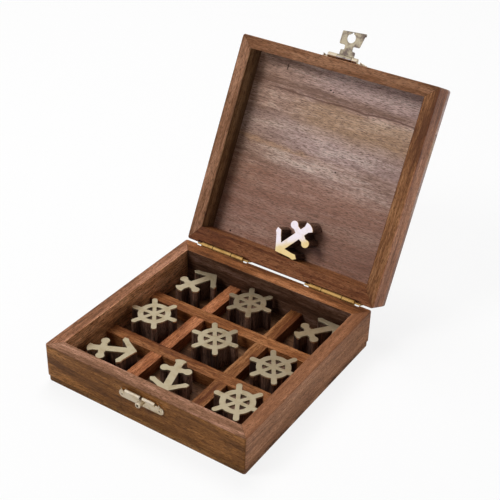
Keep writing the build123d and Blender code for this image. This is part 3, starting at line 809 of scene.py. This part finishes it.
def closed_line(points, angle, away):
    """A closed curve whose points lie at an angle and a distance from the hub."""
    spot = w.vector(w.math("COSINE", angle) * away, w.math("SINE", angle) * away, 0.0)
    line = w.node("GeometryNodeCurvePrimitiveCircle", None, {"Resolution": points})
    return w.node("GeometryNodeSetPosition", None, {"Geometry": line, "Position": spot})


def filleted(line, radius, count):
    """The curve with an arc of count points at each corner."""
    settings = {"Curve": line, "Radius": radius, "Limit Radius": True, "Count": count}
    return w.node("GeometryNodeFilletCurve", {"mode": "POLY"}, settings)


print("one spoke takes", round(math.degrees(sixth)), "degrees")

# %% Wheel tree: the outline
index = w.node("GeometryNodeInputIndex")
spoke = w.math("FLOOR", index * (1 / SIDE_POINTS) + 0.001)
step = index - spoke * SIDE_POINTS
# Points 0 and 3 are the handle's roots on the rim, 1 and 2 its tip, and 4 to 10 the bare rim.
from_middle = abs(step - 1.5)
at_tip = w.math("LESS_THAN", from_middle, 1.0)
at_root = (1 - at_tip) * w.math("LESS_THAN", from_middle, 2.0)
root_angle = w.math("ARCSINE", w.math("DIVIDE", size["Root"], size["Rim"]))
tip_angle = w.math("ARCTANGENT", w.math("DIVIDE", size["Tip"], size["Reach"]))
tip_away = w.math("SQRT", size["Tip"] * size["Tip"] + size["Reach"] * size["Reach"])
side_of = w.math("SIGN", step - 1.5)
past_root = w.math("MAXIMUM", step - 3.0, 0.0)
along_rim = past_root * (sixth - root_angle * 2.0) * (1 / (SIDE_POINTS - 3))
angle = side_of * (at_tip * tip_angle + (1 - at_tip) * root_angle) + along_rim + spoke * sixth
away = at_tip * tip_away + (1 - at_tip) * size["Rim"]
outline = closed_line(SPOKES * SIDE_POINTS, angle, away)
outline = filleted(outline, at_tip * size["Tip"] + at_root * size["Fillet"], 7)
print(SPOKES * SIDE_POINTS, "points round the wheel")

# %% Wheel tree: the windows
# A window is a slice of the disc between two spokes: point 0 is its inner corner.
WINDOW_FILLET = 0.18 * MM
number = w.node("GeometryNodeInputIndex")
inner = w.math("LESS_THAN", number, 0.5)
edge_angle = w.math("ARCSINE", w.math("DIVIDE", size["Spoke"] * 0.5, size["Window"]))
sweep = (number - 1.0) * (sixth - edge_angle * 2.0) * (1 / (WINDOW_POINTS - 2)) + edge_angle
angle = inner * (sixth / 2) + (1 - inner) * sweep
away = inner * size["Spoke"] * (0.5 / math.sin(sixth / 2)) + (1 - inner) * size["Window"]
window = closed_line(WINDOW_POINTS, angle, away)
# Its corners are points 0, 1 and 9, the ones far from the middle of the arc, point 5.
at_corner = w.math("GREATER_THAN", abs(number - 5.0), 3.5)
window = filleted(window, at_corner * WINDOW_FILLET, 2)
hub = w.node("GeometryNodePoints", None, {"Count": SPOKES})
turn = w.vector(0.0, 0.0, w.node("GeometryNodeInputIndex") * sixth)
settings = {"Points": hub, "Instance": window, "Rotation": turn}
windows = w.node("GeometryNodeInstanceOnPoints", None, settings)
windows = w.node("GeometryNodeRealizeInstances", None, {"Geometry": windows})
print(SPOKES, "windows of", WINDOW_POINTS, "points")

# %% Wheel tree: the plate
lines = w.node("GeometryNodeJoinGeometry", None, {"Geometry": [outline, windows]})
flat = w.node("GeometryNodeFillCurve", {"mode": "NGONS"}, {"Curve": lines})
# The flat face is pushed up by the thickness, and a copy turned over closes it from below.
lift = w.vector(0.0, 0.0, size["Thickness"])
settings = {"Mesh": flat, "Offset": lift, "Offset Scale": 1.0, "Individual": False}
raised = w.node("GeometryNodeExtrudeMesh", None, settings)
under = w.node("GeometryNodeFlipFaces", None, {"Mesh": flat})
face = w.node("GeometryNodeJoinGeometry", None, {"Geometry": [raised, under]})
settings = {"Geometry": face, "Distance": 0.001 * MM}
face = w.node("GeometryNodeMergeByDistance", None, settings)
end_tree(w, face, w.vector(0.0, 0.0, size["Turn"]), size)
print("wheel tree with", len(wheel_tree.nodes), "nodes")

# %% Wheels on their pieces
BRASS_UNDERSIDE = 16.2
wheel_sizes = in_metres({
    "Rim": 9.35, "Reach": 14.35, "Tip": 1.65, "Root": 1.48, "Window": 6.1, "Spoke": 2.3,
    "Fillet": 0.7, "Thickness": 1.0,
})
wheel_places = {
    # piece: x and y of the hub, turn in degrees
    "wheel_back_middle": (-1.568, 39.233, -2),
    "wheel_mid_left": (-39.428, -0.549, 6),
    "wheel_centre": (1.301, 0.151, 5),
    "wheel_mid_right": (40.494, -2.032, 3),
    "wheel_front_right": (40.493, -35.934, 0),
}
for wheel, (x, y, turn) in wheel_places.items():
    node = wheel + "_brass"
    piece = grown(node + "_face", wheel_tree, {
        **wheel_sizes, "Turn": math.radians(turn),
        "Middle": (x * MM, y * MM, BRASS_UNDERSIDE * MM), "Material": face_brass,
    })
    made_parts[node] = finish_piece(piece, node, FACE_EASE, face_brass)
    show_fit(node, piece)

# %% [markdown]
# ## Finishes on the frame's own solids
# Everything that isn't swapped keeps its CAD solid and only gets a finish. The boards, strips and
# blocks have the right shape as they are, so a finer copy of them would add nothing.

# %% Assign finishes
for node, solid in nodes.items():
    if node in made_parts:
        continue
    bare_metal = hinge_brass if "hinge" in node else latch_metal
    solid.data.materials.clear()
    solid.data.materials.append(wood_finish.get(node, bare_metal))
print("finishes on", len(nodes) - len(made_parts), "solids")

# %% [markdown]
# ## Floor and light
# The box stands on a pale floor in soft studio light. Large lamps and a white room light it at a
# plain level, so that a colour shows about as it is written. The two strong lamps are each split in
# two, because what lights the wood well would be too bright as a reflection in the metal.

# %% Floor
REACH, FLOOR_TONE, GLOW_SHARE = 12.0, 0.9, 0.85
floor_mesh = bpy.data.meshes.new("floor")
floor_corners = [(-REACH, -REACH, 0), (REACH, -REACH, 0), (REACH, REACH, 0), (-REACH, REACH, 0)]
floor_mesh.from_pydata(floor_corners, [], [(0, 1, 2, 3)])
floor = new_piece("floor", floor_mesh)
floor_material, floor_shader, w = new_finish("pale_floor")
floor_shader.inputs["Base Color"].default_value = (FLOOR_TONE, FLOOR_TONE, FLOOR_TONE, 1)
floor_shader.inputs["Roughness"].default_value = 0.9
# To the camera the floor glows as well, so that it shows nearly white but keeps the shadow.
seen = w.node("ShaderNodeLightPath", out="Is Camera Ray")
glow = w.node("ShaderNodeEmission", None, {"Color": (1, 1, 1, 1), "Strength": 1.0})
lit = Wire(w.tree, floor_shader.outputs[0])
mixed = w.node("ShaderNodeMixShader", None, {0: seen * GLOW_SHARE, 1: lit, 2: glow})
mixed.feed(floor_material.node_tree.nodes["Material Output"], "Surface")
floor.data.materials.append(floor_material)
print("floor", 2 * REACH, "m across")


# %% Lamps
def softbox(name, place, aim, size, radiance, edge=(1, 0, 0), colour=(1, 1, 1), role="both"):
    """A lamp of width and height size that faces aim, with its long sides along edge.

    radiance is how bright its face is. Its role says whether it lights surfaces ("fill"), shows
    in shiny ones ("sheen"), or both.
    """
    lamp = bpy.data.lights.new(name, "AREA")
    lamp.shape = "RECTANGLE"
    lamp.size, lamp.size_y = size
    lamp.energy = radiance * math.pi * size[0] * size[1]
    lamp.color = colour
    holder = new_piece(name, lamp)
    back = (Vector(place) - Vector(aim)).normalized()
    side = (Vector(edge) - back * Vector(edge).dot(back)).normalized()
    holder.matrix_world = Matrix((side, back.cross(side), back)).transposed().to_4x4()
    holder.matrix_world.translation = place
    holder.visible_glossy = role != "fill"
    holder.visible_diffuse = role != "sheen"


lid_middle, tray_middle = Vector((0.0, 0.085, 0.07)), Vector((0.0, 0.0, 0.05))
key_place = lid_middle + Vector((-0.42, -0.58, 0.72)).normalized() * 1.2
key_size, top_place, top_size = (0.42, 0.42), (-0.35, 0.5, 1.35), (0.7, 0.7)
softbox("key_lamp", key_place, lid_middle, key_size, 12.5, role="fill")
softbox("key_sheen", key_place, lid_middle, key_size, 5.0, role="sheen")
softbox("top_lamp", top_place, tray_middle, top_size, 8.0, role="fill")
softbox("top_sheen", top_place, tray_middle, top_size, 2.4, role="sheen")
softbox("side_lamp", (1.3, 0.6, 0.5), tray_middle, (0.8, 0.8), 2.0)
print("three lamps, two of them split")

# %% A card for the lid's anchor
# The lid's anchor mirrors a small cool card, whose lower edge crosses the anchor.
anchor_middle = Vector((0.0018, 0.0729, 0.0412))
card_low = Vector((-0.498, -0.961, 0.360))
card_edge = Vector((1, 0, 0.6)).normalized()
card_back = (card_low - anchor_middle).normalized()
card_up = card_back.cross(card_edge - card_back * card_edge.dot(card_back)).normalized()
card_size, card_blue = (0.24, 0.14), (0.05, 0.15, 1.0)
card_place = card_low + card_up * (card_size[1] / 2)
softbox("card", card_place, anchor_middle, card_size, 2.1, card_edge, card_blue, role="sheen")
print("card", card_size[0], "m wide,", round((card_place - anchor_middle).length, 2), "m away")

# %% A white room
# The room is white where it is seen, also in a mirror or through glass, but lights little.
ROOM_LIGHT = 0.1
world = bpy.data.worlds.new("room")
bpy.context.scene.world = world
world.use_nodes = True
background = world.node_tree.nodes["Background"]
background.inputs["Color"].default_value = (1, 1, 1, 1)
room = Wire(world.node_tree)
seen, mirrored, through = (
    room.node("ShaderNodeLightPath", out=ray)
    for ray in ("Is Camera Ray", "Is Glossy Ray", "Is Transmission Ray")
)
plain = room.math("MAXIMUM", room.math("MAXIMUM", seen, mirrored), through)
strength = plain * (1 - ROOM_LIGHT) + ROOM_LIGHT
strength.feed(background, "Strength")
bpy.context.scene.view_settings.view_transform = "Standard"
print("the room lights at", ROOM_LIGHT, "of what it shows")
